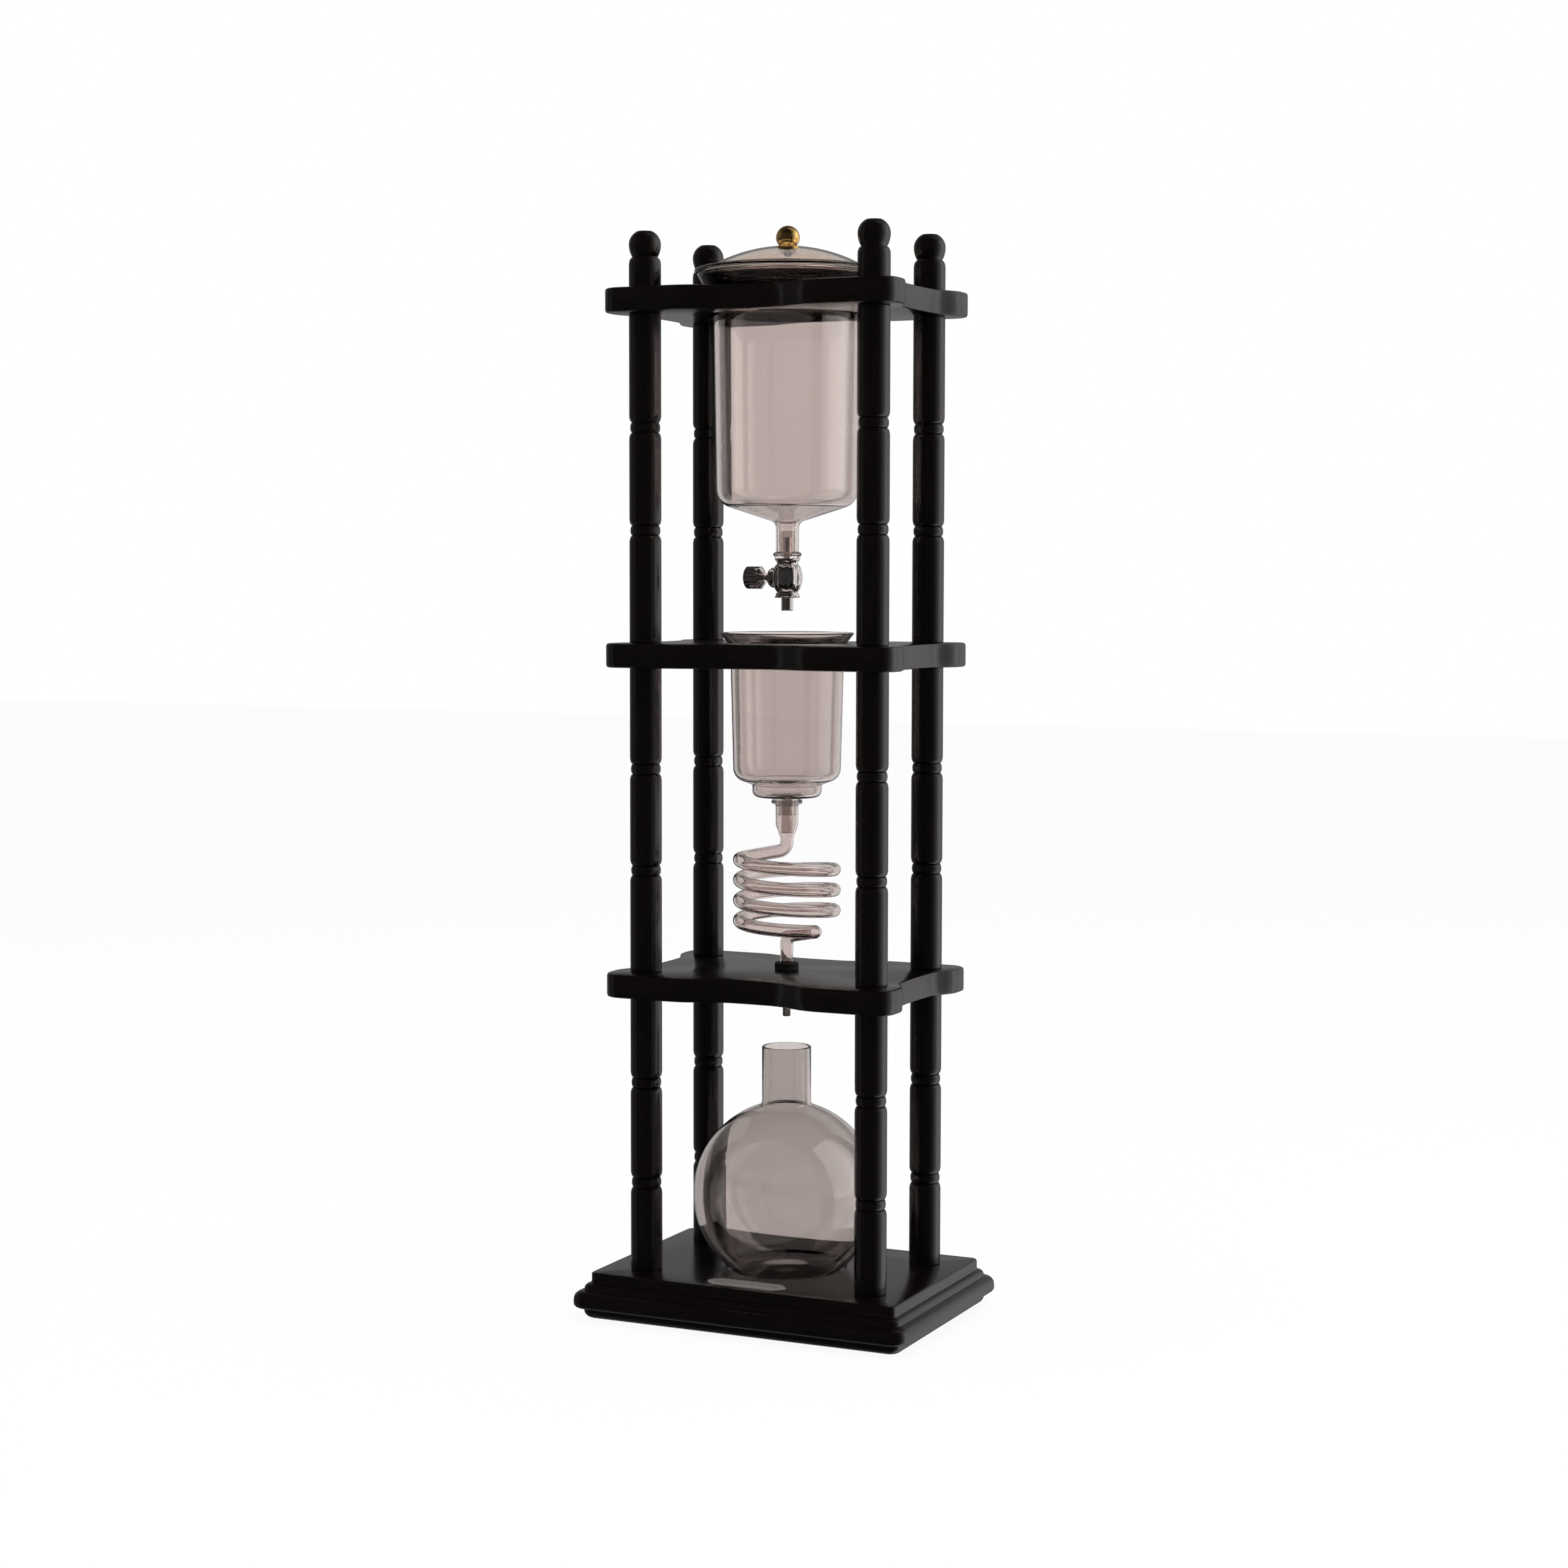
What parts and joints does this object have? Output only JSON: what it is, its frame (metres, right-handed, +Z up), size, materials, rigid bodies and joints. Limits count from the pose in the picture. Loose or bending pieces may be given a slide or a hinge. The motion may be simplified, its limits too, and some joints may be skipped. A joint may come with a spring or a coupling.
{
  "type": "cold drip coffee tower",
  "caption": "Turned black wooden stand with ogee shelves that carries a lidded glass water vessel with a needle tap, a glass coffee vessel, a glass spiral and a round flask.",
  "frame": {"origin": "middle of the base's footprint, on the floor under the rubber pads", "axes": "+Z up, +X to the right seen from the front, and the front faces -Y"},
  "size_m": [0.2684, 0.19, 0.8085],
  "materials": {
    "black_wood": "black stained and lacquered, semi-gloss",
    "clear_glass": "clear blown glass",
    "chrome": "polished",
    "black_rubber": "matt",
    "clear_silicone": "translucent",
    "plate_metal": "satin",
    "fastener_steel": "plain",
    "polished_brass": "polished gold tone"
  },
  "bodies": {
    "stand": {"base": "black_wood", "rubber_pads": "black_rubber", "name_plate": "plate_metal", "plate_pins": "fastener_steel", "base_screws": "fastener_steel", "lower_spindle_front_left": "black_wood", "lower_spindle_front_right": "black_wood", "lower_spindle_back_left": "black_wood", "lower_spindle_back_right": "black_wood", "lower_shelf": "black_wood", "lower_shelf_studs": "fastener_steel", "middle_spindle_front_left": "black_wood", "middle_spindle_front_right": "black_wood", "middle_spindle_back_left": "black_wood", "middle_spindle_back_right": "black_wood", "middle_shelf": "black_wood", "middle_shelf_studs": "fastener_steel", "upper_spindle_front_left": "black_wood", "upper_spindle_front_right": "black_wood", "upper_spindle_back_left": "black_wood", "upper_spindle_back_right": "black_wood", "top_shelf": "black_wood", "top_shelf_studs": "fastener_steel", "finial_front_left": "black_wood", "finial_front_right": "black_wood", "finial_back_left": "black_wood", "finial_back_right": "black_wood", "grommet": "black_rubber", "glass_spiral": "clear_glass", "socket_seal": "clear_silicone"},
    "coffee_vessel": {"coffee_vessel": "clear_glass"},
    "water_vessel": {"water_vessel": "clear_glass", "tap_bush": "clear_silicone", "tap_body": "chrome", "tap_packing": "black_rubber", "tap_bonnet": "chrome", "tap_spout": "chrome"},
    "lid": {"lid": "clear_glass", "lid_knob": "polished_brass", "knob_screw": "fastener_steel", "knob_washer": "clear_silicone"},
    "tap_handle": {"tap_stem": "chrome", "tap_knob": "chrome"},
    "flask": {"flask": "clear_glass"}
  },
  "joints": [
    {"name": "water_vessel_lift", "type": "slide", "parent": "stand", "child": "water_vessel", "axis": [0, 0, 1], "range_m": [0, 0.25]},
    {"name": "lid_lift", "type": "slide", "parent": "water_vessel", "child": "lid", "axis": [0, 0, 1], "range_m": [0, 0.06]},
    {"name": "tap_turn", "type": "hinge", "parent": "water_vessel", "child": "tap_handle", "pos_m": [0, 0, 0.55114], "axis": [-1, 0, 0], "range_deg": [0, 720]},
    {"name": "coffee_vessel_lift", "type": "slide", "parent": "stand", "child": "coffee_vessel", "axis": [0, 0, 1], "range_m": [0, 0.012]},
    {"name": "flask_slide", "type": "slide", "parent": "stand", "child": "flask", "axis": [0, -0.9397, 0.342], "range_m": [0, 0.2]}
  ]
}
